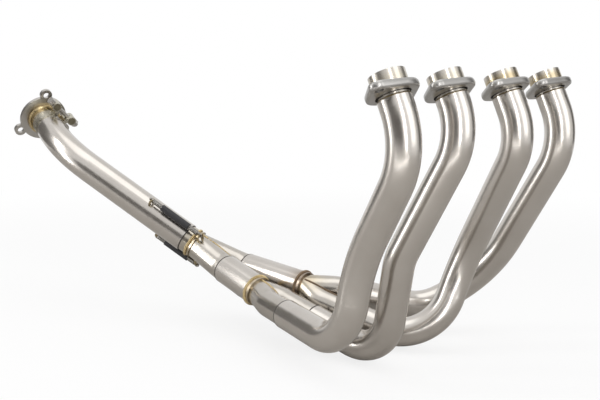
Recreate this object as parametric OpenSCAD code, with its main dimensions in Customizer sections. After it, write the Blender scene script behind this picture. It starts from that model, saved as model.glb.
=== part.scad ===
// Motorcycle exhaust header, four into two into one, with port flanges and clamped outlet
// X runs from the outlet to the ports, Y from port 1 to port 4, Z up, in mm
// The origin is the middle of the top face of port spigot 1

/* [Ports] */
// Distance between ports 1 and 2, and between ports 3 and 4
outer_pitch = 91; // [85:1:100]
// Distance between ports 2 and 3, over the cam chain
middle_pitch = 103; // [96:1:115]
// Lean of the port axis from straight down, in degrees
port_lean = 24.5; // [20:0.5:30]
// How far the collar of a spigot stands out from its neck
collar_step = 2.65; // [2.4:0.05:3.5]
// Height of the collar above the flange
collar_height = 14; // [10:1:18]
// Wall of a spigot's neck
spigot_wall = 1.3; // [1:0.1:2]
// Distance from the top face to the start of the tube
tube_start = 26; // [24.5:0.5:30]

/* [Port flanges] */
// Flange thickness
flange_thickness = 8; // [6:0.5:9]
// Distance between the two studs
stud_spacing = 70; // [66:1:76]
// Stud hole diameter
stud_hole = 9; // [8:0.5:9.5]
// Radius of the middle of a flange
flange_middle_radius = 27; // [26:0.5:29]
// Radius of the ends of a flange
flange_end_radius = 9.5; // [9:0.5:12]
// Turn of a flange about its port, from the row of ports
flange_turn = 20; // [0:1:30]
// Rounding of the cast edges
flange_rounding = 2.5; // [1:0.5:3]

/* [Primary tubes] */
// Outer diameter of a primary tube
primary_diameter = 35; // [34:0.5:36]
// Wall of all the tubes
wall = 1.2; // [1:0.1:1.5]
// Depth of a slip joint
slip_depth = 28; // [20:1:34]
// First bend below each port, measured along the port axis
first_bend_at = [79, 68, 77, 83]; // [66:1:90]
// Knee of tube 1
knee_1 = [-46, 15, -195]; // [-300:1:300]
// Heel of tube 1
heel_1 = [-59, 9, -287]; // [-330:1:300]
// Bend radii of tube 1
bends_1 = [80, 170, 55]; // [40:1:240]
// Knee of tube 2
knee_2 = [-44, 79, -198]; // [-300:1:300]
// Heel of tube 2
heel_2 = [-73, 89, -321]; // [-330:1:300]
// Bend radii of tube 2
bends_2 = [73, 80, 49]; // [40:1:240]
// Knee of tube 3
knee_3 = [-60, 219, -224]; // [-300:1:300]
// Heel of tube 3
heel_3 = [-68, 170, -326]; // [-330:1:300]
// Bend radii of tube 3
bends_3 = [63, 112, 64]; // [40:1:240]
// Knee of tube 4
knee_4 = [-77, 293, -257]; // [-300:1:300]
// Heel of tube 4
heel_4 = [-136, 239, -299]; // [-330:1:300]
// Bend radii of tube 4
bends_4 = [77, 150, 57]; // [40:1:280]
// Distance from the last bend of each inlet to the end of its primary tube
inlet_show = [46, 53, 40, 36]; // [24:1:70]

/* [First collectors] */
// Outer diameter of the secondary tubes
secondary_diameter = 38; // [37:0.5:39]
// Where the front inlets meet
front_meet = [-260, 67.6, -271.4]; // [-300:1:300]
// Where the front secondary tube ends
front_end = [-327, 71, -254]; // [-340:1:300]
// Last bend of inlet 1
inlet_bend_1 = [-225, 52, -277]; // [-300:1:300]
// Last bend of inlet 2
inlet_bend_2 = [-229, 80, -279]; // [-300:1:300]
// Where the rear inlets meet
rear_meet = [-229, 121, -269]; // [-300:1:300]
// Where the rear secondary tube ends
rear_end = [-328, 110, -258]; // [-340:1:300]
// Last bend of inlet 3
inlet_bend_3 = [-202, 117, -281]; // [-300:1:300]
// Last bend of inlet 4
inlet_bend_4 = [-193, 141, -268]; // [-300:1:300]
// Bend radius of the inlets
inlet_bend_radius = 36; // [30:1:44]
// Length of a collector cone
neck_length = 4; // [3:0.5:6]

/* [Last collector and mid pipe] */
// Outer diameter of the mid pipe
mid_diameter = 40; // [39:0.5:42]
// Where the two last inlets meet
last_meet = [-387, 68, -229]; // [-400:1:300]
// Where the mid pipe bends
mid_bend = [-565, -23.5, -106]; // [-580:1:300]
// End rim of the mid pipe
mid_end = [-619, -14, -80]; // [-640:1:300]
// Bend radius of the mid pipe
mid_bend_radius = 157; // [120:1:170]
// Length of the last collector's sleeve that shows before the mid pipe
sleeve_show = 13; // [8:1:18]

/* [Outlet] */
// Distance from the rim of the mid pipe to the flange
outlet_reach = 34.5; // [32:0.5:40]
// Outlet flange thickness
ear_thickness = 5; // [4:0.5:7]
// Diameter of the hole circle of the outlet flange
outlet_circle = 74; // [70:1:78]
// Hole diameter of the outlet flange
ear_hole = 8.6; // [8:0.2:9]
// Radius of an ear
ear_radius = 8.5; // [8:0.5:11]
// Radius of the disc of the outlet flange
disc_radius = 33.5; // [31:0.5:35]
// Depth of the outlet sleeve inside the mid pipe
outlet_depth = 13; // [10:1:15]
// Width of the clamp band
band_width = 15; // [12:0.5:17]
// Direction of the clamp bolt about the pipe
clamp_turn = 44; // [0:1:90]
// Radius of a trunnion barrel
trunnion_radius = 5; // [4.5:0.5:6]

/* [Springs] */
// Wire of a hook
hook_wire = 2.6; // [2:0.2:3]
// Outer radius of a spring
spring_radius = 3.4; // [3:0.2:4]
// Outer radius of a rubber sleeve
sleeve_radius = 4.6; // [4.2:0.2:5.4]

/* [Hidden] */
$fn = 48;
lap = 0.5;
bump = 0.04;
seat = 0.2;
primary_r = primary_diameter / 2;
primary_bore = primary_r - wall;
collar_bore_r = primary_r + 0.6;
inlet_r = primary_bore - seat;
inlet_bore = inlet_r - wall;
secondary_r = secondary_diameter / 2;
secondary_bore = secondary_r - wall;
last_r = secondary_bore - seat;
last_bore = last_r - wall;
spigot_r = primary_bore - seat;
mid_r = mid_diameter / 2;
mid_bore = mid_r - wall;
down = [sin(port_lean), 0, -cos(port_lean)];
port_y = [0, outer_pitch, outer_pitch + middle_pitch, 2 * outer_pitch + middle_pitch];
function unit(v) = v / norm(v);
function port(i) = [0, port_y[i], 0];
knees = [knee_1, knee_2, knee_3, knee_4];
heels = [heel_1, heel_2, heel_3, heel_4];
bends = [bends_1, bends_2, bends_3, bends_4];
inlet_bends = [inlet_bend_1, inlet_bend_2, inlet_bend_3, inlet_bend_4];
function run_back(i) = unit(heels[i] - inlet_bends[i]);
function slip_end(i) = inlet_bends[i] + run_back(i) * inlet_show[i];
function primary_path(i) = [port(i) + down * tube_start, port(i) + down * first_bend_at[i], knees[i], heels[i], slip_end(i)];
front_line = unit(front_end - front_meet);
rear_line = unit(rear_end - rear_meet);
front_start = front_meet + front_line * neck_length;
rear_start = rear_meet + rear_line * neck_length;
last_line = unit(mid_bend - last_meet);
last_start = last_meet + last_line * neck_length;
mid_start = last_start + last_line * sleeve_show;
outlet_line = unit(mid_end - mid_bend);

function turn_angle(a, b, c) = acos(unit(b - a) * unit(c - b));
function bend_start(a, b, c, r) = b - unit(b - a) * r * tan(turn_angle(a, b, c) / 2);
function bend_end(a, b, c, r) = b + unit(c - b) * r * tan(turn_angle(a, b, c) / 2);

// Children stand at a point with their Z along a direction and their X near a hint
module along(at, z_dir, x_hint) {
    z = unit(z_dir);
    y = unit(cross(z, x_hint));
    x = cross(y, z);
    multmatrix([[x[0], y[0], z[0], at[0]], [x[1], y[1], z[1], at[1]], [x[2], y[2], z[2], at[2]], [0, 0, 0, 1]])
        children();
}

module rod(p, q, r) {
    hint = abs(unit(q - p)[0]) < 0.9 ? [1, 0, 0] : [0, 1, 0];
    along(p, q - p, hint) cylinder(h = norm(q - p), r = r);
}

module elbow(a, b, c, bend, r) {
    s = bend_start(a, b, c, bend);
    y = unit(b - a);
    side = unit(cross(cross(y, c - b), y));
    centre = s + side * bend;
    x = -side;
    z = cross(x, y);
    multmatrix([[x[0], y[0], z[0], centre[0]], [x[1], y[1], z[1], centre[1]], [x[2], y[2], z[2], centre[2]], [0, 0, 0, 1]])
        rotate_extrude(angle = turn_angle(a, b, c)) translate([bend, 0]) circle(r);
}

// The bends are a hair thinner than the straights and reach into them, so each joint is a clean circle
module solid_run(pts, radii, r, extra) {
    n = len(pts);
    for (i = [0 : n - 2]) {
        after_bend = i == 0 ? pts[0] : bend_end(pts[i - 1], pts[i], pts[i + 1], radii[i - 1]);
        before_bend = i == n - 2 ? pts[n - 1] : bend_start(pts[i], pts[i + 1], pts[i + 2], radii[i]);
        dir = unit(pts[i + 1] - pts[i]);
        p = after_bend - dir * (i == 0 ? extra : lap);
        q = before_bend + dir * (i == n - 2 ? extra : lap);
        rod(p, q, r + bump);
        if (i < n - 2) elbow(pts[i], pts[i + 1], pts[i + 2], radii[i], r);
    }
}

module run(pts, radii, r_out, r_in) {
    difference() {
        solid_run(pts, radii, r_out - bump, 0);
        solid_run(pts, radii, r_in - bump, 1);
    }
}

module bead(at, dir, ring_r, wire_r) {
    hint = abs(unit(dir)[0]) < 0.9 ? [1, 0, 0] : [0, 1, 0];
    along(at, dir, hint) rotate_extrude() translate([ring_r, 0]) circle(wire_r);
}

// A ring weld just behind a collector cone
weld_wire = 1.8;
module ring_weld(tint, at, line, r) {
    color(tint)
    difference() {
        bead(at + line * weld_wire, line, r + 0.3, weld_wire);
        rod(at - line * 6, at + line * 12, r + 0.05);
    }
}

// A port spigot, from its top face down the port axis
module spigot(i) {
    color("#C9C6C0")
    along(port(i), down, [0, 1, 0])
    rotate_extrude() polygon([
        [spigot_r - spigot_wall, 0.8], [spigot_r - spigot_wall + 0.8, 0],
        [spigot_r + collar_step, 0], [spigot_r + collar_step, collar_height], [spigot_r, collar_height],
        [spigot_r, collar_height + flange_thickness + 12], [spigot_r - spigot_wall, collar_height + flange_thickness + 12]]);
}

module rounded_disc(r, h, edge) {
    rotate_extrude($fn = 32) {
        polygon([[0, 0], [r - edge, 0], [r - edge * 0.3, edge * 0.3], [r, edge], [r, h - edge], [r - edge * 0.3, h - edge * 0.3], [r - edge, h], [0, h]]);
    }
}

// A loose cast flange, with its bore a little wider than the neck of the spigot
module flange(i) {
    color("#8C8A88")
    along(port(i) + down * collar_height, down, [0, -1, 0])
    rotate([0, 0, -flange_turn])
    difference() {
        hull() {
            rounded_disc(flange_middle_radius, flange_thickness, flange_rounding);
            for (s = [-1, 1]) translate([s * stud_spacing / 2, 0, 0]) rounded_disc(flange_end_radius, flange_thickness, flange_rounding);
        }
        translate([0, 0, -1]) cylinder(h = flange_thickness + 2, r = collar_bore_r);
        for (s = [-1, 1]) translate([s * stud_spacing / 2, 0, -1]) cylinder(h = flange_thickness + 2, r = stud_hole / 2);
    }
}

module port_bead(i) {
    color("#A08A60")
    along(port(i) + down * (tube_start - 0.2), down, [0, 1, 0])
    rotate_extrude() polygon([[primary_bore - seat + 0.1, 0], [primary_bore - seat + 0.1, -1.6], [primary_bore + 0.6, -1.4], [primary_r, -0.4], [primary_r + 0.1, 0]]);
}

module primary(i) {
    color("#B4AFAA")
    run(primary_path(i), bends[i], primary_r, primary_bore);
}

// Half of space on one side of the plane where two inlets meet
module other_side(meet, line, toward) {
    away = unit(toward - line * (toward * line));
    along(meet, -away, line) translate([-200, -200, 0]) cube([400, 400, 400]);
}

// An inlet from the plane where it meets its twin back into its primary tube
module inlet(i, j, meet) {
    back_i = unit(inlet_bends[i] - meet);
    back_j = unit(inlet_bends[j] - meet);
    mid_line = unit(back_i + back_j);
    start = meet - back_i * 14;
    color("#ABA6A0")
    difference() {
        run([start, inlet_bends[i], slip_end(i) + run_back(i) * slip_depth], [inlet_bend_radius], inlet_r, inlet_bore);
        other_side(meet, mid_line, back_i - back_j);
        along(meet, -(i < 2 ? -front_line : -rear_line), [0, 1, 0]) translate([0, 0, 0]) cylinder(h = 40, r = 60);
    }
}

// The cone behind the inlets, open from their bores into the tube it is welded to
module neck(meet, line, wide_r, end_r, throat_r) {
    color("#A8A29A")
    along(meet, line, [0, 1, 0])
    rotate_extrude() polygon([[throat_r, 0], [wide_r, 0], [end_r, neck_length], [end_r - wall, neck_length], [throat_r, 2.4]]);
}

module front_inlet_1() { inlet(0, 1, front_meet); }
module front_inlet_2() { inlet(1, 0, front_meet); }
module rear_inlet_3() { inlet(2, 3, rear_meet); }
module rear_inlet_4() { inlet(3, 2, rear_meet); }

module front_secondary_tube() {
    color("#B4AFAA")
    difference() {
        rod(front_start, front_end, secondary_r);
        rod(front_start - front_line, front_end + front_line, secondary_bore);
    }
}

module rear_secondary_tube() {
    color("#B4AFAA")
    difference() {
        rod(rear_start, rear_end, secondary_r);
        rod(rear_start - rear_line, rear_end + rear_line, secondary_bore);
    }
}

// A last inlet slips into its secondary tube and bends toward the last collector
module last_inlet(end, line, twin_end) {
    back_i = unit(end - last_meet);
    back_j = unit(twin_end - last_meet);
    mid_line = unit(back_i + back_j);
    bend_at = end + line * 12;
    color("#ABA6A0")
    difference() {
        run([end - line * slip_depth, bend_at, last_meet - unit(bend_at - last_meet) * 16], [40], last_r, last_bore);
        other_side(last_meet, mid_line, back_i - back_j);
        along(last_meet, last_line, [0, 1, 0]) cylinder(h = 50, r = 60);
    }
}

module final_inlet_front() { last_inlet(front_end, front_line, rear_end); }
module final_inlet_rear() { last_inlet(rear_end, rear_line, front_end); }

module mid_pipe() {
    color("#B4AFAA")
    run([mid_start, mid_bend, mid_end], [mid_bend_radius], mid_r, mid_bore);
}

// The sleeve behind the last collector slips into the mid pipe
module final_collector_sleeve() {
    color("#ABA6A0")
    difference() {
        rod(last_start, mid_start + last_line * slip_depth, mid_bore - seat);
        rod(last_start - last_line, mid_start + last_line * (slip_depth + 1), mid_bore - seat - wall);
    }
}

// Children stand on the outlet axis, a distance beyond the rim of the mid pipe, with X up
module at_outlet(s) {
    along(mid_end + outlet_line * s, outlet_line, [0, 0, 1]) children();
}

// The sleeve slips into the mid pipe and carries the flange
module outlet_sleeve() {
    color("#B0ACA6")
    at_outlet(-outlet_depth)
    difference() {
        cylinder(h = outlet_depth + outlet_reach + 2, r = mid_bore - seat);
        translate([0, 0, -1]) cylinder(h = outlet_depth + outlet_reach + 4, r = mid_bore - seat - wall);
    }
}

module outlet_weld() {
    color("#B89A5E")
    at_outlet(outlet_reach - 6.5)
    rotate_extrude() polygon([[mid_bore - seat + 0.1, 0], [mid_r + 1.6, 0], [mid_r + 3.2, 1.4], [mid_r + 3.6, 3], [mid_r + 3.2, 4.6], [mid_r + 2.6, 6.4], [mid_bore - seat + 0.1, 6.4]]);
}

module outlet_flange() {
    color("#9A958C")
    at_outlet(outlet_reach)
    linear_extrude(ear_thickness) difference() {
        union() {
            circle(disc_radius);
            for (a = ear_angles) rotate([0, 0, a]) {
                translate([outlet_circle / 2, 0]) circle(ear_radius);
                translate([10, -ear_radius * 0.86]) square([outlet_circle / 2 - 11, 1.72 * ear_radius]);
            }
        }
        circle(mid_bore - seat + 0.1);
        for (a = ear_angles) rotate([0, 0, a]) translate([outlet_circle / 2, 0]) circle(ear_hole / 2);
    }
}
// One ear points up, the other two stand at even steps round the pipe
ear_angles = [0, 120, 240];

// The clamp band, a ring round the pipe with a gap where its two loops hold the barrels
band_in = mid_bore - seat + 0.05;
band_out = band_in + 1.4;
band_from = 6;
barrel_at = 33;
barrel_spread = 31;
module clamp_place() {
    at_outlet(band_from) rotate([0, 0, clamp_turn]) children();
}
module loop_out() {
    rotate([0, 0, barrel_spread]) translate([barrel_at, 0]) circle(trunnion_radius + 1.5);
    rotate([0, 0, barrel_spread]) translate([band_in + 0.6, -trunnion_radius - 0.9]) square([barrel_at - band_in - 1.6, trunnion_radius + 1.4]);
}
module clamp_band() {
    color("#8A8578")
    clamp_place()
    difference() {
        linear_extrude(band_width) difference() {
            union() {
                circle(band_out);
                loop_out();
                mirror([0, 1]) loop_out();
            }
            circle(band_in);
            translate([0, -7]) square([60, 14]);
            for (s = [-1, 1]) rotate([0, 0, s * barrel_spread]) translate([barrel_at, 0]) circle(trunnion_radius + 0.1);
        }
        clamp_bolt_line(3.3);
    }
}
module clamp_bolt_line(r) {
    translate([barrel_at * cos(barrel_spread), -40, band_width / 2]) rotate([-90, 0, 0]) cylinder(h = 80, r = r);
}
module barrel(s) {
    color("#8C8468")
    clamp_place()
    difference() {
        rotate([0, 0, s * barrel_spread]) translate([barrel_at, 0, -0.5]) cylinder(h = band_width + 1, r = trunnion_radius);
        clamp_bolt_line(3.15);
    }
}
module clamp_trunnion_upper() { barrel(-1); }
module clamp_trunnion_lower() { barrel(1); }
bolt_from = barrel_at * sin(barrel_spread) + trunnion_radius + 1.7;
module clamp_bolt() {
    color("#9C9A96")
    clamp_place()
    translate([barrel_at * cos(barrel_spread), -bolt_from - 6, band_width / 2])
    rotate([-90, 0, 0]) {
        cylinder(h = 2 * bolt_from + 14, r = 2.95);
        difference() {
            cylinder(h = 6, r = 5);
            translate([0, 0, -1]) cylinder(h = 4, r = 2.9, $fn = 6);
        }
    }
}
module clamp_nut() {
    color("#9C9A96")
    clamp_place()
    translate([barrel_at * cos(barrel_spread), bolt_from, band_width / 2])
    rotate([-90, 0, 0])
    difference() {
        cylinder(h = 5.5, r = 5.7, $fn = 6);
        translate([0, 0, -1]) cylinder(h = 8, r = 2.96);
    }
}

// Spring hooks are bent wires welded on the pipes; each stands on the outside of its pipe
hook_top = 8.6;
hook_half = 4;
top_normal = unit([0.663, -0.36, 0.655]);
mid_line = last_line;
bottom_normal = unit([-0.596, 0.041, -0.802]);
front_normal = unit([-0.357, 0.364, -0.86]);
function square_to(n, d) = unit(n - d * (n * d));
last_front_bend = front_end + front_line * 12;
last_rear_bend = rear_end + rear_line * 12;
last_front_line = unit(last_meet - last_front_bend);
last_rear_line = unit(last_meet - last_rear_bend);
top_feet = [last_meet + mid_line * 80, last_meet - last_front_line * 10];
bottom_feet = [last_meet + mid_line * 58, last_meet - last_front_line * 9];
front_feet = [last_front_bend + last_front_line * 8, front_end - front_line * 38];
function crown(foot, n, d, r) = foot + square_to(n, d) * (r + hook_top);
top_ends = [crown(top_feet[0], top_normal, mid_line, mid_r), crown(top_feet[1], top_normal, last_front_line, last_r)];
bottom_ends = [crown(bottom_feet[0], bottom_normal, mid_line, mid_r), crown(bottom_feet[1], bottom_normal, last_front_line, last_r)];
front_ends = [crown(front_feet[0], front_normal, last_front_line, last_r), crown(front_feet[1], front_normal, front_line, secondary_r)];

// A hook cut from strip stands over a pipe, its foot on the pipe axis; n is the way it stands, d the way the pipe runs
module hook(foot, n, d, r) {
    color("#A08C62")
    difference() {
        along(foot, square_to(n, d), d)
            rotate([90, 0, 90]) translate([0, 0, -hook_wire / 2]) linear_extrude(hook_wire) difference() {
                union() {
                    translate([0, r + hook_top - hook_half]) circle(hook_half + hook_wire / 2);
                    translate([-hook_half - hook_wire / 2, r - 3]) square([2 * hook_half + hook_wire, hook_top - hook_half + 3]);
                }
                translate([0, r + hook_top - hook_half]) circle(hook_half - hook_wire / 2);
                translate([-hook_half + hook_wire / 2, r - 4]) square([2 * hook_half - hook_wire, hook_top - hook_half + 4]);
            }
        rod(foot - d * 30, foot + d * 30, r);
        rod(last_rear_bend, last_meet, last_r + 0.1);
    }
}

// A spring with a ring at each end that hangs in the two hooks
ring_mid = 3.4;
ring_wire = 1;
module spring(ends, n) {
    d = unit(ends[1] - ends[0]);
    length = norm(ends[1] - ends[0]);
    reach = ring_mid - ring_wire - hook_wire / 2 - 0.65;
    color("#8E8C88")
    along(ends[0], d, square_to(n, d)) {
        for (at = [reach, length - reach]) translate([0, 0, at]) rotate([90, 0, 0]) rotate_extrude() translate([ring_mid, 0]) circle(ring_wire);
        translate([0, 0, reach + ring_mid - 0.4]) cylinder(h = length - 2 * reach - 2 * ring_mid + 0.8, r = spring_radius);
    }
}

// A rubber sleeve round the middle of a spring
module sleeve(ends) {
    d = unit(ends[1] - ends[0]);
    length = norm(ends[1] - ends[0]);
    color("#2A2830")
    along(ends[0] + d * length * 0.22, d, [0, 1, 0]) difference() {
        cylinder(h = length * 0.56, r = sleeve_radius);
        translate([0, 0, -1]) cylinder(h = length * 0.56 + 2, r = spring_radius + 0.1);
    }
}
module hook_top_rear() { hook(top_feet[0], top_normal, mid_line, mid_r); }
module hook_top_front() { hook(top_feet[1], top_normal, last_front_line, last_r); }
module hook_bottom_rear() { hook(bottom_feet[0], bottom_normal, mid_line, mid_r); }
module hook_bottom_front() { hook(bottom_feet[1], bottom_normal, last_front_line, last_r); }
module hook_front_rear() { hook(front_feet[0], front_normal, last_front_line, last_r); }
module hook_front_front() { hook(front_feet[1], front_normal, front_line, secondary_r); }
module spring_top() { spring(top_ends, top_normal); }
module spring_bottom() { spring(bottom_ends, bottom_normal); }
module spring_front() { spring(front_ends, front_normal); }
module sleeve_top() { sleeve(top_ends); }
module sleeve_bottom() { sleeve(bottom_ends); }
module sleeve_front() { sleeve(front_ends); }

module port_spigot_1() { spigot(0); }
module port_spigot_2() { spigot(1); }
module port_spigot_3() { spigot(2); }
module port_spigot_4() { spigot(3); }
module port_flange_1() { flange(0); }
module port_flange_2() { flange(1); }
module port_flange_3() { flange(2); }
module port_flange_4() { flange(3); }
module port_weld_1() { port_bead(0); }
module port_weld_2() { port_bead(1); }
module port_weld_3() { port_bead(2); }
module port_weld_4() { port_bead(3); }
module primary_tube_1() { primary(0); }
module primary_tube_2() { primary(1); }
module primary_tube_3() { primary(2); }
module primary_tube_4() { primary(3); }
module front_collector_neck() { neck(front_meet, front_line, inlet_r + 2.9, secondary_r, inlet_bore - 0.5); }
module rear_collector_neck() { neck(rear_meet, rear_line, inlet_r + 2.9, secondary_r, inlet_bore - 0.5); }
module front_collector_weld() { ring_weld("#B89A5E", front_start, front_line, secondary_r); }
module rear_collector_weld() { ring_weld("#7A5A40", rear_start, rear_line, secondary_r); }
module final_collector_neck() { neck(last_meet, last_line, last_r + 2.6, mid_bore - seat, last_bore - 0.5); }
module final_collector_weld() { ring_weld("#B89A5E", last_start, last_line, mid_bore - seat); }

port_spigot_1();
port_spigot_2();
port_spigot_3();
port_spigot_4();
port_flange_1();
port_flange_2();
port_flange_3();
port_flange_4();
port_weld_1();
port_weld_2();
port_weld_3();
port_weld_4();
primary_tube_1();
primary_tube_2();
primary_tube_3();
primary_tube_4();
front_inlet_1();
front_inlet_2();
rear_inlet_3();
rear_inlet_4();
front_collector_neck();
rear_collector_neck();
front_collector_weld();
rear_collector_weld();
front_secondary_tube();
rear_secondary_tube();
final_inlet_front();
final_inlet_rear();
final_collector_neck();
final_collector_weld();
final_collector_sleeve();
mid_pipe();
outlet_sleeve();
outlet_weld();
outlet_flange();
clamp_band();
clamp_trunnion_upper();
clamp_trunnion_lower();
clamp_bolt();
clamp_nut();
hook_top_rear();
hook_top_front();
hook_bottom_rear();
hook_bottom_front();
hook_front_rear();
hook_front_front();
spring_top();
spring_bottom();
spring_front();
sleeve_top();
sleeve_bottom();
sleeve_front();
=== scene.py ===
# Motorcycle exhaust header: stainless tubes, cast flanges, welds, springs and the clamped outlet
import math
import bpy
import bmesh
import numpy as np
from mathutils import Matrix, Vector


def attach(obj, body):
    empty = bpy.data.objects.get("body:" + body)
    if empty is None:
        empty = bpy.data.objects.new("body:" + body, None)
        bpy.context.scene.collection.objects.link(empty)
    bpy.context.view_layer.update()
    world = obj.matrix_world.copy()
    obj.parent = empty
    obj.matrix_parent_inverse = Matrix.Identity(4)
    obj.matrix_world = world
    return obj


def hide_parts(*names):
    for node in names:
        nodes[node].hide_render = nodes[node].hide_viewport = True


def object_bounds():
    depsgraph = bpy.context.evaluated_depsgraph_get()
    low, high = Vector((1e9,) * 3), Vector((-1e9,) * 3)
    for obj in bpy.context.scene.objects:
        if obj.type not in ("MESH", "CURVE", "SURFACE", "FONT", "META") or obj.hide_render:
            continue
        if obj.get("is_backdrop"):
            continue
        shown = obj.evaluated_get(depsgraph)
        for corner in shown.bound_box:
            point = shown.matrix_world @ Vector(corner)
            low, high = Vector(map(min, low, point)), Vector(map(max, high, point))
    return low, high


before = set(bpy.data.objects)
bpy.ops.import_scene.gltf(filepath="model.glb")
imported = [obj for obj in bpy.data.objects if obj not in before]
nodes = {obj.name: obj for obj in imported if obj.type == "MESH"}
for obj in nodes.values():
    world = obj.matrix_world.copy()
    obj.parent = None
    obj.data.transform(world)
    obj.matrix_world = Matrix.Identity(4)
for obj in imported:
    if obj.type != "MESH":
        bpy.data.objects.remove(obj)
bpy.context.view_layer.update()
print("frame loaded", len(nodes))


def unit(v):
    return Vector(v).normalized()


def linear(hexText):
    parts = [int(hexText[i:i + 2], 16) / 255 for i in (1, 3, 5)]
    return tuple(c / 12.92 if c <= 0.04045 else ((c + 0.055) / 1.055) ** 2.4 for c in parts) + (1.0,)


def mm(x, y, z):
    return Vector((x, y, z)) / 1000


# The same points as in the part's source, in metres
frontMeet = mm(-260, 67.6, -271.4)
frontEnd = mm(-327, 71, -254)
rearMeet = mm(-229, 121, -269)
rearEnd = mm(-328, 110, -258)
lastMeet = mm(-387, 68, -229)
midBend = mm(-565, -23.5, -106)
midEnd = mm(-619, -14, -80)
inletBends = [mm(-225, 52, -277), mm(-229, 80, -279), mm(-202, 117, -281), mm(-193, 141, -268)]
heels = [mm(-59, 9, -287), mm(-73, 89, -321), mm(-68, 170, -326), mm(-136, 239, -299)]
frontLine = unit(frontEnd - frontMeet)
rearLine = unit(rearEnd - rearMeet)
lastLine = unit(midBend - lastMeet)
outletLine = unit(midEnd - midBend)
portLean = math.radians(24.5)
portDown = Vector((math.sin(portLean), 0, -math.cos(portLean)))
ports = [mm(0, y, 0) for y in (0, 91, 194, 285)]

# Radii of the tubes, outside
inletRadius, lastRadius, sleeveRadius = 0.0161, 0.0176, 0.0186
secondaryRadius, midRadius = 0.019, 0.020
wall = 0.0012

# Camera first, at the photograph's place
cameraSettings = {
    "place": mm(547.9, -650.3, 1.3),
    "right": (0.699, 0.715, 0.0),
    "ahead": (-0.708, 0.692, -0.143),
    "lensMm": 52.86,
    "sensorMm": 36.0,
    "nearest": 0.01,
}


def makeCamera(settings):
    data = bpy.data.cameras.new("camera")
    data.sensor_fit = "HORIZONTAL"
    data.sensor_width = settings["sensorMm"]
    data.lens = settings["lensMm"]
    data.clip_start = settings["nearest"]
    camera = bpy.data.objects.new("camera", data)
    bpy.context.scene.collection.objects.link(camera)
    right = unit(settings["right"])
    back = -unit(settings["ahead"])
    back = (back - right * back.dot(right)).normalized()
    up = back.cross(right)
    turn = Matrix((right, up, back)).transposed().to_4x4()
    turn.translation = settings["place"]
    camera.matrix_world = turn
    bpy.context.scene.camera = camera


makeCamera(cameraSettings)


# Adds a node; feeds gives each socket another node's output, or a plain value
def addNode(tree, kind, feeds=None, **settings):
    node = tree.nodes.new(kind)
    for key, value in settings.items():
        if hasattr(node, key):
            setattr(node, key, value)
        else:
            node.inputs[key.replace("_", " ")].default_value = value
    for name, source in (feeds or {}).items():
        if isinstance(source, bpy.types.NodeSocket):
            tree.links.new(source, node.inputs[name])
        else:
            node.inputs[name].default_value = source
    return node


def startMaterial(name):
    material = bpy.data.materials.new(name)
    material.use_nodes = True
    tree = material.node_tree
    return material, tree, tree.nodes["Principled BSDF"]


# Colour sockets of a Mix node: two in, one out
mixFirst, mixSecond, mixResult = 6, 7, 2

# Noise scales per metre; their spots are about 26, 4, 0.6, 4 and 1 mm wide
noiseScales = {"cloud": 38.0, "patch": 230.0, "grain": 1600.0, "dust": 260.0, "grit": 900.0}

# Stainless steel in its finishes; stain is how far the shade shows in clouds over the base
steelSettings = {
    # Bent tube with a satin belt finish: long bands of light with soft edges
    "tube": {"base": "#C4BFB9", "shade": "#B5AFA8", "rough": 0.24, "grain": 0.0, "stain": 0.35},
    # Inlets, cones and last sleeve: the same belt finish, a little warmer near their welds
    "inlet": {"base": "#BBB6AF", "shade": "#A9A39A", "rough": 0.24, "grain": 0.0, "stain": 0.4},
    # Turned spigots: clean and bright
    "turned": {"base": "#C6C1B9", "shade": "#B5AFA5", "rough": 0.24, "grain": 0.0, "stain": 0.3},
    # Cast flanges, blasted: greyer, with a fine skin that breaks up the light
    "cast": {"base": "#ABA9A6", "shade": "#93918E", "rough": 0.33, "grain": 0.3, "stain": 0.5},
    # Cut plate and screws: flat, with a faint grain
    "plate": {"base": "#BEBBB6", "shade": "#A8A49E", "rough": 0.3, "grain": 0.12, "stain": 0.4},
    # Rolled strip of the clamp band: smooth and a little yellow
    "strip": {"base": "#BDB9AC", "shade": "#9E998A", "rough": 0.27, "grain": 0.08, "stain": 0.5},
    # Passivated barrels of the clamp: olive and dull
    "barrel": {"base": "#8E8874", "shade": "#625D4B", "rough": 0.34, "grain": 0.1, "stain": 0.6},
    # Hooks bent from strip: straw and brown from their welds
    "wire": {"base": "#A3967A", "shade": "#76674C", "rough": 0.3, "grain": 0.05, "stain": 0.6},
    # Drawn spring wire: dark grey and slick
    "spring": {"base": "#9C9994", "shade": "#74716C", "rough": 0.28, "grain": 0.05, "stain": 0.4},
    # Weld beads: gold under a thin oxide film, brown where they got hotter
    "goldBead": {"base": "#CBB88F", "shade": "#9F8B64", "rough": 0.28, "grain": 0.03, "stain": 0.8},
    "brownBead": {"base": "#83705C", "shade": "#5F4F41", "rough": 0.34, "grain": 0.05, "stain": 0.8},
}
roughLess, roughMore = 0.012, 0.02  # how far the roughness wanders
grainDepth = 0.00005


# One zone of heat tint; with an axis it is a band across that axis, else a ball
def heat(place, reach, colour, strength, axis=None):
    return {"place": place, "reach": reach, "colour": colour, "strength": strength, "axis": axis}


# The oxide film's colour fades with distance from its weld, with an uneven edge; in shares of its reach
tintSettings = {"uneven": 0.6, "fadeFrom": 0.35, "fadeTo": 1.25}


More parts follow.
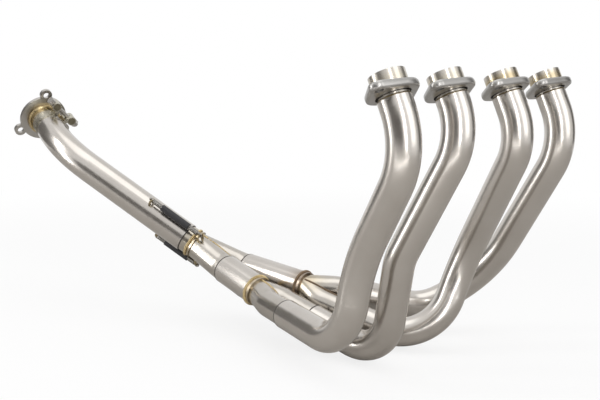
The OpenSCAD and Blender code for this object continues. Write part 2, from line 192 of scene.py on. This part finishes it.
def addTint(tree, where, cloud, out, zone):
    reach = zone["reach"]
    away = addNode(tree, "ShaderNodeVectorMath", {0: where, 1: zone["place"]}, operation="SUBTRACT")
    away = away.outputs[0]
    if zone["axis"] is None:
        far = addNode(tree, "ShaderNodeVectorMath", {0: away}, operation="LENGTH").outputs["Value"]
    else:
        along = addNode(tree, "ShaderNodeVectorMath", {0: away, 1: zone["axis"]}, operation="DOT_PRODUCT")
        far = addNode(tree, "ShaderNodeMath", {0: along.outputs["Value"]}, operation="ABSOLUTE").outputs[0]
    uneven = addNode(tree, "ShaderNodeMath", {0: cloud, 1: reach * tintSettings["uneven"]},
                     operation="MULTIPLY")
    edge = addNode(tree, "ShaderNodeMath", {0: far, 1: uneven.outputs[0]}, operation="ADD")
    fade = addNode(tree, "ShaderNodeMapRange", {"Value": edge.outputs[0]}, interpolation_type="SMOOTHSTEP",
                   From_Min=reach * tintSettings["fadeFrom"], From_Max=reach * tintSettings["fadeTo"],
                   To_Min=zone["strength"], To_Max=0.0)
    mix = addNode(tree, "ShaderNodeMix", {"Factor": fade.outputs["Result"], mixFirst: out,
                                          mixSecond: linear(zone["colour"])}, data_type="RGBA")
    return mix.outputs[mixResult]


def steel(name, kind, zones=()):
    look = steelSettings[kind]
    material, tree, shader = startMaterial(name)
    where = addNode(tree, "ShaderNodeTexCoord").outputs["Object"]
    cloud = addNode(tree, "ShaderNodeTexNoise", {"Vector": where}, Scale=noiseScales["cloud"], Detail=4.0,
                    Roughness=0.55).outputs["Fac"]
    spread = addNode(tree, "ShaderNodeMapRange", {"Value": cloud}, From_Min=0.35, From_Max=0.68)
    amount = addNode(tree, "ShaderNodeMath", {0: spread.outputs["Result"], 1: look["stain"]},
                     operation="MULTIPLY")
    colour = addNode(tree, "ShaderNodeMix", {"Factor": amount.outputs[0], mixFirst: linear(look["base"]),
                                             mixSecond: linear(look["shade"])}, data_type="RGBA")
    out = colour.outputs[mixResult]
    for zone in zones:
        out = addTint(tree, where, cloud, out, zone)
    tree.links.new(out, shader.inputs["Base Color"])
    shader.inputs["Metallic"].default_value = 1.0
    patch = addNode(tree, "ShaderNodeTexNoise", {"Vector": where}, Scale=noiseScales["patch"], Detail=3.0)
    rough = addNode(tree, "ShaderNodeMapRange", {"Value": patch.outputs["Fac"]}, From_Min=0.3, From_Max=0.7,
                    To_Min=look["rough"] - roughLess, To_Max=look["rough"] + roughMore)
    tree.links.new(rough.outputs["Result"], shader.inputs["Roughness"])
    if look["grain"] > 0:
        # A real grain is about 0.1 mm; drawn at 0.6 mm so that it shows
        grain = addNode(tree, "ShaderNodeTexNoise", {"Vector": where}, Scale=noiseScales["grain"], Detail=2.0)
        bump = addNode(tree, "ShaderNodeBump", {"Height": grain.outputs["Fac"]}, Strength=look["grain"],
                       Distance=grainDepth)
        tree.links.new(bump.outputs["Normal"], shader.inputs["Normal"])
    return material


# Silicone rubber sleeve, extruded: matt, nearly black, with a film of dust
rubberSettings = {
    "base": "#19191B",
    "dusty": "#29282B",
    "roughFrom": 0.48,
    "roughTo": 0.66,
    "bump": 0.3,
    "depth": 0.0001,
}


def rubber(name):
    material, tree, shader = startMaterial(name)
    where = addNode(tree, "ShaderNodeTexCoord").outputs["Object"]
    dust = addNode(tree, "ShaderNodeTexNoise", {"Vector": where}, Scale=noiseScales["dust"], Detail=4.0)
    dust = dust.outputs["Fac"]
    colour = addNode(tree, "ShaderNodeMix", {"Factor": dust, mixFirst: linear(rubberSettings["base"]),
                                             mixSecond: linear(rubberSettings["dusty"])}, data_type="RGBA")
    tree.links.new(colour.outputs[mixResult], shader.inputs["Base Color"])
    rough = addNode(tree, "ShaderNodeMapRange", {"Value": dust}, To_Min=rubberSettings["roughFrom"],
                    To_Max=rubberSettings["roughTo"])
    tree.links.new(rough.outputs["Result"], shader.inputs["Roughness"])
    bump = addNode(tree, "ShaderNodeBump", {"Height": dust}, Strength=rubberSettings["bump"],
                   Distance=rubberSettings["depth"])
    tree.links.new(bump.outputs["Normal"], shader.inputs["Normal"])
    return material


straw, gold, brown, olive = "#B9AC8C", "#B09A6C", "#87725C", "#98937A"
# Name of the material, its finish, and its zones of heat tint
steelTable = {
    "frontInlet": ("brushed stainless inlets front", "inlet", [heat(frontMeet, 0.026, straw, 0.55)]),
    "rearInlet": ("brushed stainless inlets rear", "inlet",
                  [heat(rearMeet, 0.044, straw, 0.6), heat(rearMeet, 0.024, brown, 0.75)]),
    "lastInlet": ("brushed stainless last inlets", "inlet", [heat(lastMeet, 0.030, straw, 0.6)]),
    "frontNeck": ("heat tinted front cone", "inlet", [heat(frontMeet, 0.05, gold, 0.7)]),
    "rearNeck": ("heat tinted rear cone", "inlet", [heat(rearMeet, 0.05, brown, 0.85)]),
    "lastNeck": ("heat tinted last cone", "inlet", [heat(lastMeet, 0.05, gold, 0.7)]),
    "frontSecondary": ("brushed stainless front secondary", "tube", [heat(frontMeet, 0.030, olive, 0.5)]),
    "rearSecondary": ("brushed stainless rear secondary", "tube", [heat(rearMeet, 0.040, brown, 0.8)]),
    "midPipe": ("brushed stainless mid pipe", "tube", [heat(lastMeet + lastLine * 0.02, 0.022, straw, 0.3)]),
    "lastSleeve": ("brushed stainless last sleeve", "inlet", [heat(lastMeet, 0.045, straw, 0.5)]),
    "outletSleeve": ("stainless sleeve at outlet", "plate",
                     [heat(midEnd + outletLine * 0.03, 0.030, straw, 0.6)]),
    "outletFlange": ("cut stainless plate flange", "plate", []),
    "castFlange": ("cast stainless port flange", "cast", []),
    "strip": ("stainless strip clamp band", "strip", []),
    "barrel": ("passivated clamp barrel", "barrel", []),
    "screw": ("stainless screw", "plate", []),
    "hook": ("heat tinted hook strip", "wire", []),
    "spring": ("spring steel wire", "spring", []),
    "goldBead": ("gold weld bead", "goldBead", []),
    "brownBead": ("brown weld bead", "brownBead", []),
}
steels = {key: steel(*row) for key, row in steelTable.items()}
steels["rubber"] = rubber("black silicone rubber")

# Heat tint under each flange and on each spigot, by its distance down the port's axis
portTint = {
    "tubeAt": 0.026,
    "tubeReach": 0.018,
    "tubeStrength": 0.35,
    "spigotAt": 0.009,
    "spigotReach": 0.010,
}
spigotTints = [(straw, 0.25), (straw, 0.3), ("#A8956A", 0.7), ("#A8956A", 0.65)]
for i, (colour, strength) in enumerate(spigotTints):
    number = str(i + 1)
    tubePlace = ports[i] + portDown * portTint["tubeAt"]
    spigotPlace = ports[i] + portDown * portTint["spigotAt"]
    tubeZone = heat(tubePlace, portTint["tubeReach"], straw, portTint["tubeStrength"])
    spigotZone = heat(spigotPlace, portTint["spigotReach"], colour, strength, portDown)
    steels["tube" + number] = steel("brushed stainless primary " + number, "tube", [tubeZone])
    steels["spigot" + number] = steel("turned stainless spigot " + number, "turned", [spigotZone])
print("materials made", len(steels))

# The first start that fits a node's name gives its finish
finishes = [
    ("front_inlet", "frontInlet"), ("rear_inlet", "rearInlet"), ("final_inlet", "lastInlet"),
    ("front_collector_neck", "frontNeck"), ("rear_collector_neck", "rearNeck"),
    ("final_collector_neck", "lastNeck"), ("front_secondary", "frontSecondary"),
    ("rear_secondary", "rearSecondary"), ("mid_pipe", "midPipe"), ("final_collector_sleeve", "lastSleeve"),
    ("outlet_sleeve", "outletSleeve"), ("outlet_flange", "outletFlange"), ("clamp_band", "strip"),
    ("clamp_trunnion", "barrel"), ("clamp", "screw"), ("port_flange", "castFlange"), ("hook", "hook"),
    ("spring", "spring"), ("sleeve", "rubber"), ("rear_collector_weld", "brownBead"),
]
for number in "1234":
    finishes += [("primary_tube_" + number, "tube" + number), ("port_spigot_" + number, "spigot" + number)]
finishes.append(("", "goldBead"))  # all the other welds
for name, obj in nodes.items():
    finish = next(key for start, key in finishes if name.startswith(start))
    obj.data.materials.clear()
    obj.data.materials.append(steels[finish])


# Where the inlets run: how much of each shows, how deep it slips in, and how it bends
inletSettings = {
    "shows": [0.046, 0.053, 0.040, 0.036],
    "slip": 0.028,
    "bendRadius": 0.036,
    "pastMeet": 0.014,
    "lastBendAt": 0.012,
    "lastBendRadius": 0.040,
    "lastPastMeet": 0.016,
}
runBacks = [unit(heel - bend) for heel, bend in zip(heels, inletBends)]
slipEnds = [bend + back * show for bend, back, show in zip(inletBends, runBacks, inletSettings["shows"])]
lastFrontBend = frontEnd + frontLine * inletSettings["lastBendAt"]
lastRearBend = rearEnd + rearLine * inletSettings["lastBendAt"]


# The centre line from a to c, its corner at b drawn as an arc
def arcPath(a, b, c, radius, steps=64):
    first, second = unit(b - a), unit(c - b)
    angle = first.angle(second)
    reach = radius * math.tan(angle / 2)
    side = unit(second - first * second.dot(first))
    hub = b - first * reach + side * radius
    arc = [hub - side * radius * math.cos(t) + first * radius * math.sin(t)
           for t in (angle * k / steps for k in range(steps + 1))]
    return [a] + arc + [c]


def pastMeet(meet, bend, distance):
    return meet - unit(bend - meet) * distance


def copyOf(name, ending):
    piece = bpy.data.objects.new(name + ending, nodes[name].data.copy())
    bpy.context.scene.collection.objects.link(piece)
    return piece


# A bent tube's skin gets the normals of a true round tube, so that highlights run straight
def roundSkin(name, path, outer, near=0.0004, leastFacing=0.7):
    piece = copyOf(name, "_skin")
    mesh = piece.data
    count = len(mesh.vertices)
    places = np.empty(count * 3)
    mesh.vertices.foreach_get("co", places)
    places = places.reshape(count, 3)
    line = np.array([tuple(v) for v in path])
    best = np.full(count, 1e9)
    radial = np.zeros((count, 3))
    for a, b in zip(line[:-1], line[1:]):
        d = b - a
        t = np.clip(((places - a) @ d) / (d @ d), 0, 1)
        away = places - (a + t[:, None] * d)
        size = np.linalg.norm(away, axis=1)
        closer = size < best
        best[closer] = size[closer]
        radial[closer] = away[closer]
    radial /= np.maximum(best, 1e-9)[:, None]
    normals = [None] * len(mesh.loops)
    for face in mesh.polygons:
        face.use_smooth = True
        flat = face.normal
        for loop in face.loop_indices:
            v = mesh.loops[loop].vertex_index
            ray = Vector(radial[v])
            facing = ray.dot(flat)
            if abs(best[v] - outer) < near and facing > leastFacing:
                normals[loop] = ray
            elif abs(best[v] - outer + wall) < near and facing < -leastFacing:
                normals[loop] = -ray
            else:
                normals[loop] = flat
    mesh.normals_split_custom_set([tuple(n) for n in normals])
    return piece


skins = []
for i, (name, meet) in enumerate((("front_inlet_1", frontMeet), ("front_inlet_2", frontMeet),
                                  ("rear_inlet_3", rearMeet), ("rear_inlet_4", rearMeet))):
    start = pastMeet(meet, inletBends[i], inletSettings["pastMeet"])
    end = slipEnds[i] + runBacks[i] * inletSettings["slip"]
    skins.append((name, arcPath(start, inletBends[i], end, inletSettings["bendRadius"]), inletRadius))
for name, tip, line, bend in (("final_inlet_front", frontEnd, frontLine, lastFrontBend),
                              ("final_inlet_rear", rearEnd, rearLine, lastRearBend)):
    start = tip - line * inletSettings["slip"]
    end = pastMeet(lastMeet, bend, inletSettings["lastPastMeet"])
    skins.append((name, arcPath(start, bend, end, inletSettings["lastBendRadius"]), lastRadius))
for name, path, outer in skins:
    piece = roundSkin(name, path, outer)
    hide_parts(name)
    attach(piece, "root")
print("inlets skinned")


# The cast flanges get soft edges: faces less than this angle apart share their shading
flangeSettings = {"softEdge": math.radians(50), "merge": 0.000002}
for number in "1234":
    name = "port_flange_" + number
    piece = copyOf(name, "_cast")
    for layer in ("custom_normal", "sharp_edge", "sharp_face"):
        if layer in piece.data.attributes:
            piece.data.attributes.remove(piece.data.attributes[layer])
    bm = bmesh.new()
    bm.from_mesh(piece.data)
    bmesh.ops.remove_doubles(bm, verts=bm.verts, dist=flangeSettings["merge"])
    for face in bm.faces:
        face.smooth = True
    for edge in bm.edges:
        edge.smooth = len(edge.link_faces) == 2 and edge.calc_face_angle(0) < flangeSettings["softEdge"]
    bm.to_mesh(piece.data)
    bm.free()
    weigh = piece.modifiers.new("weigh", "WEIGHTED_NORMAL")
    weigh.keep_sharp = True
    mesh = bpy.data.meshes.new_from_object(piece.evaluated_get(bpy.context.evaluated_depsgraph_get()))
    piece.modifiers.clear()
    piece.data = mesh
    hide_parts(name)
    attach(piece, "root")
print("flanges softened")


# A geometry node tree with its sizes as named inputs
def startTree(name, sizes):
    tree = bpy.data.node_groups.new(name, "GeometryNodeTree")
    face = tree.interface
    face.new_socket("Geometry", in_out="INPUT", socket_type="NodeSocketGeometry")
    for label, value in sizes.items():
        face.new_socket(label, in_out="INPUT", socket_type="NodeSocketFloat").default_value = value
    face.new_socket("Finish", in_out="INPUT", socket_type="NodeSocketMaterial")
    face.new_socket("Geometry", in_out="OUTPUT", socket_type="NodeSocketGeometry")
    return tree, addNode(tree, "NodeGroupInput").outputs


def endTree(tree, geometry, given):
    real = addNode(tree, "GeometryNodeRealizeInstances", {"Geometry": geometry})
    smooth = addNode(tree, "GeometryNodeSetShadeSmooth", {"Geometry": real.outputs[0]})
    done = addNode(tree, "GeometryNodeSetMaterial",
                   {"Geometry": smooth.outputs[0], "Material": given["Finish"]})
    addNode(tree, "NodeGroupOutput", {"Geometry": done.outputs[0]})


# Weld ripples: flattened drops laid along a path, one for each pulse of the torch
def rippleTree():
    tree, given = startTree("weldRipples", {"Step": 0.0016, "Drop Radius": 0.002, "Flatness": 0.5})
    curve = addNode(tree, "GeometryNodeMeshToCurve", {"Mesh": given["Geometry"]})
    points = addNode(tree, "GeometryNodeCurveToPoints", {"Curve": curve.outputs[0], "Length": given["Step"]},
                     mode="LENGTH")
    drop = addNode(tree, "GeometryNodeMeshIcoSphere", {"Radius": given["Drop Radius"]}, Subdivisions=3)
    size = addNode(tree, "ShaderNodeCombineXYZ", {"Z": given["Flatness"]}, X=1.0, Y=1.0)
    laid = addNode(tree, "GeometryNodeInstanceOnPoints",
                   {"Points": points.outputs["Points"], "Instance": drop.outputs[0],
                    "Rotation": points.outputs["Rotation"], "Scale": size.outputs[0]})
    endTree(tree, laid.outputs[0], given)
    return tree


def pathObject(name, points, closed):
    mesh = bpy.data.meshes.new(name)
    edges = [(i, i + 1) for i in range(len(points) - 1)]
    if closed:
        edges.append((len(points) - 1, 0))
    mesh.from_pydata([tuple(p) for p in points], edges, [])
    obj = bpy.data.objects.new(name, mesh)
    bpy.context.scene.collection.objects.link(obj)
    return obj


def applyTree(obj, tree, values):
    modifier = obj.modifiers.new("nodes", "NODES")
    modifier.node_group = tree
    for item in tree.interface.items_tree:
        if item.in_out == "INPUT" and item.name in values:
            modifier[item.identifier] = values[item.name]
    mesh = bpy.data.meshes.new_from_object(obj.evaluated_get(bpy.context.evaluated_depsgraph_get()))
    obj.modifiers.clear()
    obj.data = mesh
    return obj


ripples = rippleTree()


def layRipples(name, points, closed, settings, bead):
    values = {"Step": settings["step"], "Drop Radius": settings["drop"], "Flatness": settings["flatness"],
              "Finish": steels[bead]}
    return applyTree(pathObject(name, points, closed), ripples, values)


def ringPoints(at, line, radius, count=96):
    side = unit(line.cross(Vector((0, 0, 1))))
    up = line.cross(side)
    return [at + side * radius * math.cos(a) + up * radius * math.sin(a)
            for a in (2 * math.pi * k / count for k in range(count))]


# Ring welds behind the cones; step is the torch's travel between pulses
ringSettings = {"behind": 0.0058, "step": 0.0013, "drop": 0.0019, "flatness": 0.62}
ringWelds = [("front_collector_weld", frontMeet, frontLine, 0.0192, "goldBead"),
             ("rear_collector_weld", rearMeet, rearLine, 0.0192, "brownBead"),
             ("final_collector_weld", lastMeet, lastLine, 0.0188, "goldBead")]
for name, meet, line, radius, bead in ringWelds:
    points = ringPoints(meet + line * ringSettings["behind"], line, radius)
    piece = layRipples(name + "_ripples", points, True, ringSettings, bead)
    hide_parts(name)
    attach(piece, "root")
print("ring welds laid")


# Weld where two inlets meet: the outer edge of the cut face of an inlet, read from the model
crotchSettings = {
    "step": 0.0012,
    "drop": 0.0013,
    "flatness": 0.7,
    "onCut": 0.00006,
    "everyDegrees": 5,
    "fewestPoints": 4,
}


def crotchPoints(nodeName, meet, backA, backB):
    bisector = (backA + backB).normalized()
    across = backA - backB
    across = (across - bisector * across.dot(bisector)).normalized()
    binormal = bisector.cross(across)
    found = {}
    for vert in nodes[nodeName].data.vertices:
        away = vert.co - meet
        if abs(away.dot(across)) < crotchSettings["onCut"] and away.dot(bisector) > 0.0:
            along, wide = away.dot(bisector), away.dot(binormal)
            key = round(math.degrees(math.atan2(along, wide)) / crotchSettings["everyDegrees"])
            length = math.hypot(along, wide)
            if key not in found or length > found[key][0]:
                found[key] = (length, vert.co.copy())
    return [found[key][1] for key in sorted(found)]


crotches = [("front_crotch_weld", "front_inlet_1", frontMeet, inletBends[0], inletBends[1], "goldBead"),
            ("rear_crotch_weld", "rear_inlet_3", rearMeet, inletBends[2], inletBends[3], "brownBead"),
            ("final_crotch_weld", "final_inlet_front", lastMeet, frontEnd, rearEnd, "goldBead")]
for name, nodeName, meet, bendA, bendB, bead in crotches:
    points = crotchPoints(nodeName, meet, unit(bendA - meet), unit(bendB - meet))
    print(name, len(points))
    if len(points) < crotchSettings["fewestPoints"]:
        continue
    piece = layRipples(name, points, False, crotchSettings, bead)
    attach(piece, "root")
print("crotch welds laid")


# Springs: a closely wound coil with a ring at each end
def coilTree():
    sizes = {"Turns": 20.0, "Coil Radius": 0.0038, "Length": 0.05, "Wire Radius": 0.0008}
    tree, given = startTree("coil", sizes)
    spiral = addNode(tree, "GeometryNodeCurveSpiral",
                     {"Rotations": given["Turns"], "Start Radius": given["Coil Radius"],
                      "End Radius": given["Coil Radius"], "Height": given["Length"]}, Resolution=24)
    wire = addNode(tree, "GeometryNodeCurvePrimitiveCircle", {"Radius": given["Wire Radius"]}, Resolution=8)
    tube = addNode(tree, "GeometryNodeCurveToMesh",
                   {"Curve": spiral.outputs[0], "Profile Curve": wire.outputs[0]}, Fill_Caps=True)
    endTree(tree, tube.outputs[0], given)
    return tree


coils = coilTree()
springSettings = {
    "coilRadius": 0.0027,
    "wireRadius": 0.0007,
    "pitch": 2.04,  # in wire radii, so that the turns nearly touch
    "ringRadius": 0.0034,
    "ringWire": 0.001,
    "ringAt": 0.00045,  # from the hook's crown to the ring's middle
    "intoRing": 0.0004,  # how far the coil runs into each ring
    "hookTop": 0.0086,  # from the tube up to the hook's crown
}
lastFrontLine = unit(lastMeet - lastFrontBend)
# Which way each spring looks, and for its two ends the foot on the centre line, that line and the tube
springs = {
    "spring_top": {"faces": unit((0.663, -0.36, 0.655)),
                   "first": (lastMeet + lastLine * 0.080, lastLine, midRadius),
                   "last": (lastMeet - lastFrontLine * 0.010, lastFrontLine, lastRadius)},
    "spring_bottom": {"faces": unit((-0.596, 0.041, -0.802)),
                      "first": (lastMeet + lastLine * 0.058, lastLine, midRadius),
                      "last": (lastMeet - lastFrontLine * 0.009, lastFrontLine, lastRadius)},
    "spring_front": {"faces": unit((-0.357, 0.364, -0.86)),
                     "first": (lastFrontBend + lastFrontLine * 0.008, lastFrontLine, lastRadius),
                     "last": (frontEnd - frontLine * 0.038, frontLine, secondaryRadius)},
}


def crown(faces, foot, line, radius):
    return foot + unit(faces - line * faces.dot(line)) * (radius + springSettings["hookTop"])


def basis(origin, zAxis, xHint):
    z = unit(zAxis)
    y = unit(z.cross(xHint))
    x = y.cross(z)
    turn = Matrix((x, y, z)).transposed().to_4x4()
    turn.translation = origin
    return turn


# A ring round its own Y axis; stretch makes its section longer than it is high
def addTorus(bm, place, major, minor, count=28, sides=10, stretch=1.0):
    rings = []
    for i in range(count):
        a = 2 * math.pi * i / count
        ring = []
        for j in range(sides):
            b = 2 * math.pi * j / sides
            r = major + minor * math.cos(b)
            point = Vector((r * math.cos(a), minor * stretch * math.sin(b), r * math.sin(a)))
            ring.append(bm.verts.new(place @ point))
        rings.append(ring)
    for i in range(count):
        for j in range(sides):
            a, b = rings[i], rings[(i + 1) % count]
            bm.faces.new((a[j], b[j], b[(j + 1) % sides], a[(j + 1) % sides])).smooth = True


ringAt, ringRadius = springSettings["ringAt"], springSettings["ringRadius"]
for name, spring in springs.items():
    first, last = crown(spring["faces"], *spring["first"]), crown(spring["faces"], *spring["last"])
    length = (last - first).length
    line = unit(last - first)
    place = basis(first, line, spring["faces"] - line * spring["faces"].dot(line))
    body = length - 2 * (ringAt + ringRadius - springSettings["intoRing"])
    values = {"Turns": body / (springSettings["wireRadius"] * springSettings["pitch"]),
              "Coil Radius": springSettings["coilRadius"], "Length": body,
              "Wire Radius": springSettings["wireRadius"], "Finish": steels["spring"]}
    piece = applyTree(pathObject(name + "_coil", [(0, 0, 0), (0, 0, 0.001)], False), coils, values)
    coilStart = ringAt + ringRadius - springSettings["intoRing"]
    piece.data.transform(place @ Matrix.Translation((0, 0, coilStart)))
    bm = bmesh.new()
    bm.from_mesh(piece.data)
    for at in (ringAt, length - ringAt):
        addTorus(bm, place @ Matrix.Translation((0, 0, at)), ringRadius, springSettings["ringWire"])
    bmesh.ops.recalc_face_normals(bm, faces=bm.faces)
    bm.to_mesh(piece.data)
    bm.free()
    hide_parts(name)
    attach(piece, "root")
print("springs wound")


# Slip joints: a matt, nearly black ring at the rim of each outer tube, partly dry soot in the gap and partly
# painted shade of the gap, which also covers the rim's bare face
gapShadeSettings = {"colour": "#2F2B28", "light": "#4A443E", "rough": 0.7, "sleeveShows": 0.017}
# A dark ring's middle outside the inner tube and before the rim, half its height and half its length
wideGapShade = {"out": 0.0007, "before": 0.0010, "high": 0.0008, "long": 0.0012}
thinGapShade = {"out": 0.00012, "before": 0.0006, "high": 0.0004, "long": 0.0006}
# Name, rim of the outer tube, way into it, radius of the inner tube, and the ring's size
seams = [("slip_soot_%d" % (i + 1), slipEnds[i], runBacks[i], inletRadius, wideGapShade) for i in range(4)]
midStart = lastMeet + lastLine * gapShadeSettings["sleeveShows"]
seams += [("slip_soot_front", frontEnd, -frontLine, lastRadius, wideGapShade),
          ("slip_soot_rear", rearEnd, -rearLine, lastRadius, wideGapShade),
          ("slip_soot_mid", midStart, lastLine, sleeveRadius, thinGapShade),
          ("slip_soot_outlet", midEnd, -outletLine, sleeveRadius, thinGapShade)]


# Painted gap shade: a dark matt colour that stands in for the shadow in each slip joint's gap, with a grit of
# lighter soot
def gapShadeMaterial():
    material, tree, shader = startMaterial("soot in slip joint")
    where = addNode(tree, "ShaderNodeTexCoord").outputs["Object"]
    grit = addNode(tree, "ShaderNodeTexNoise", {"Vector": where}, Scale=noiseScales["grit"])
    shade = addNode(tree, "ShaderNodeMix", {"Factor": grit.outputs["Fac"],
                                            mixFirst: linear(gapShadeSettings["colour"]),
                                            mixSecond: linear(gapShadeSettings["light"])}, data_type="RGBA")
    tree.links.new(shade.outputs[mixResult], shader.inputs["Base Color"])
    shader.inputs["Roughness"].default_value = gapShadeSettings["rough"]
    return material


sootAndGapShade = gapShadeMaterial()
anySide = Vector((0.3, 0.4, 0.5))
alongZ = Matrix.Rotation(math.pi / 2, 4, "X")
# Each ring is painted shade of the gap, with some soot, laid round the inner tube at the outer tube's rim
for name, rim, line, radius, size in seams:
    bm = bmesh.new()
    place = basis(rim - line * size["before"], line, anySide)
    addTorus(bm, place @ alongZ, radius + size["out"], size["high"], 96, 8, size["long"] / size["high"])
    bmesh.ops.recalc_face_normals(bm, faces=bm.faces)
    mesh = bpy.data.meshes.new(name)
    bm.to_mesh(mesh)
    bm.free()
    piece = bpy.data.objects.new(name, mesh)
    bpy.context.scene.collection.objects.link(piece)
    mesh.materials.append(sootAndGapShade)
    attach(piece, "root")
print("slip joints lined")


# Studio: pale floor, soft boxes, and grey cards that only the metal sees
stageSettings = {
    "floorDrop": 0.004,
    "floorSize": 6.0,
    "floor": "#F7F7F7",
    "matt": 0.9,
    "fadeFrom": 0.45,
    "fadeTo": 1.5,
    "nearShare": 0.8,  # how white the floor is made near the object, so that its shadow stays
    "lowCardDrop": 0.002,
    "lowCardSize": 2.4,
    "lowCardShade": "#C8C5C1",
    "worldLight": 0.6,
}
low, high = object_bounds()
centre = (low + high) / 2
upward = Vector((0, 0, 1))
cameraRight = unit(cameraSettings["right"])
aheadX, aheadY = cameraSettings["ahead"][:2]
cameraBack = unit((-aheadX, -aheadY, 0.0))


def flatPlane(name, place, facing, width, height):
    mesh = bpy.data.meshes.new(name)
    w, h = width / 2, height / 2
    mesh.from_pydata([(-w, -h, 0), (w, -h, 0), (w, h, 0), (-w, h, 0)], [], [(0, 1, 2, 3)])
    obj = bpy.data.objects.new(name, mesh)
    bpy.context.scene.collection.objects.link(obj)
    z = unit(facing)
    hint = upward if abs(z.z) < 0.9 else Vector((0, 1, 0))
    x = unit(hint.cross(z))
    turn = Matrix((x, z.cross(x), z)).transposed().to_4x4()
    turn.translation = place
    obj.matrix_world = turn
    obj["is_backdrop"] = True
    return obj


def mattMaterial(name, hexText):
    material, tree, shader = startMaterial(name)
    shader.inputs["Base Color"].default_value = linear(hexText)
    shader.inputs["Roughness"].default_value = stageSettings["matt"]
    shader.inputs["Specular IOR Level"].default_value = 0.0
    return material, tree, shader


# One where the camera, a reflection or a see-through piece looks, and nought for light
def seenRays(tree):
    path = addNode(tree, "ShaderNodeLightPath").outputs
    seen = addNode(tree, "ShaderNodeMath", {0: path["Is Camera Ray"], 1: path["Is Glossy Ray"]},
                   operation="MAXIMUM")
    seen = addNode(tree, "ShaderNodeMath", {0: seen.outputs[0], 1: path["Is Transmission Ray"]},
                   operation="MAXIMUM")
    return seen.outputs[0]


def floorMaterial():
    material, tree, shader = mattMaterial("white studio floor", stageSettings["floor"])
    glow = addNode(tree, "ShaderNodeEmission", {"Color": (1, 1, 1, 1)})
    where = addNode(tree, "ShaderNodeTexCoord").outputs["Object"]
    far = addNode(tree, "ShaderNodeVectorMath", {0: where}, operation="LENGTH")
    fade = addNode(tree, "ShaderNodeMapRange", {"Value": far.outputs["Value"]},
                   interpolation_type="SMOOTHSTEP", From_Min=stageSettings["fadeFrom"],
                   From_Max=stageSettings["fadeTo"], To_Min=stageSettings["nearShare"], To_Max=1.0)
    share = addNode(tree, "ShaderNodeMath", {0: seenRays(tree), 1: fade.outputs["Result"]},
                    operation="MULTIPLY")
    mix = addNode(tree, "ShaderNodeMixShader",
                  {0: share.outputs[0], 1: shader.outputs[0], 2: glow.outputs[0]})
    tree.links.new(mix.outputs[0], tree.nodes["Material Output"].inputs["Surface"])
    return material


floorPlace = Vector((centre.x, centre.y, low.z - stageSettings["floorDrop"]))
floor = flatPlane("studio_floor", floorPlace, upward, stageSettings["floorSize"], stageSettings["floorSize"])
floor.data.materials.append(floorMaterial())


def studioPoint(angle, distance, height):
    a = math.radians(angle)
    return centre + (cameraBack * math.cos(a) + cameraRight * math.sin(a)) * distance + upward * height


def makeCard(name, place, facing, width, height, shade):
    card = flatPlane(name, place, facing, width, height)
    card.data.materials.append(mattMaterial("matt " + name.replace("_", " "), shade)[0])
    card.visible_camera = False
    card.visible_diffuse = False
    card.visible_shadow = False


# Cards: angle from the camera seen from the object, positive to the right
flags = [
    {"name": "flag_left_front", "angle": -30, "distance": 1.7, "height": -0.2, "wide": 1.9, "tall": 1.8,
     "shade": "#74716E"},
    {"name": "flag_far_left", "angle": -108, "distance": 1.6, "height": 0.1, "wide": 1.1, "tall": 2.2,
     "shade": "#7A7875"},
    {"name": "flag_far_right", "angle": 104, "distance": 1.8, "height": 0.1, "wide": 1.0, "tall": 2.2,
     "shade": "#7A7875"},
]
for flag in flags:
    place = studioPoint(flag["angle"], flag["distance"], flag["height"])
    facing = centre - place
    facing.z = 0
    makeCard(flag["name"], place, facing, flag["wide"], flag["tall"], flag["shade"])
makeCard("flag_low", Vector((centre.x, centre.y, low.z - stageSettings["lowCardDrop"])), upward,
         stageSettings["lowCardSize"], stageSettings["lowCardSize"], stageSettings["lowCardShade"])

lamps = [
    {"name": "strip_left", "angle": -78, "distance": 1.5, "height": 0.25, "size": (0.14, 1.8), "watts": 9.0},
    {"name": "strip_right", "angle": 13, "distance": 1.6, "height": 0.35, "size": (0.10, 1.6), "watts": 7.0},
    {"name": "strip_low", "angle": -8, "distance": 0.8, "height": -0.14, "size": (1.1, 0.025), "watts": 0.45},
    {"name": "softbox_right", "angle": 52, "distance": 1.7, "height": 0.6, "size": (0.8, 1.4), "watts": 5.5},
    {"name": "softbox_top", "angle": 0, "distance": 0.1, "height": 1.5, "size": (1.6, 1.2), "watts": 6.0},
]
for lamp in lamps:
    data = bpy.data.lights.new(lamp["name"], "AREA")
    data.shape = "RECTANGLE"
    data.size, data.size_y = lamp["size"]
    data.energy = lamp["watts"]
    obj = bpy.data.objects.new(lamp["name"], data)
    bpy.context.scene.collection.objects.link(obj)
    place = studioPoint(lamp["angle"], lamp["distance"], lamp["height"])
    aim = (centre - place).to_track_quat("-Z", "Y").to_matrix().to_4x4()
    obj.matrix_world = Matrix.Translation(place) @ aim


def makeWorld():
    world = bpy.data.worlds.new("white studio")
    bpy.context.scene.world = world
    world.use_nodes = True
    tree = world.node_tree
    back = tree.nodes["Background"]
    back.inputs["Color"].default_value = (1, 1, 1, 1)
    strength = addNode(tree, "ShaderNodeMapRange", {"Value": seenRays(tree)},
                       To_Min=stageSettings["worldLight"], To_Max=1.0)
    tree.links.new(strength.outputs["Result"], back.inputs["Strength"])


makeWorld()
bpy.context.scene.view_settings.view_transform = "Standard"
print("studio set")

low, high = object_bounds()
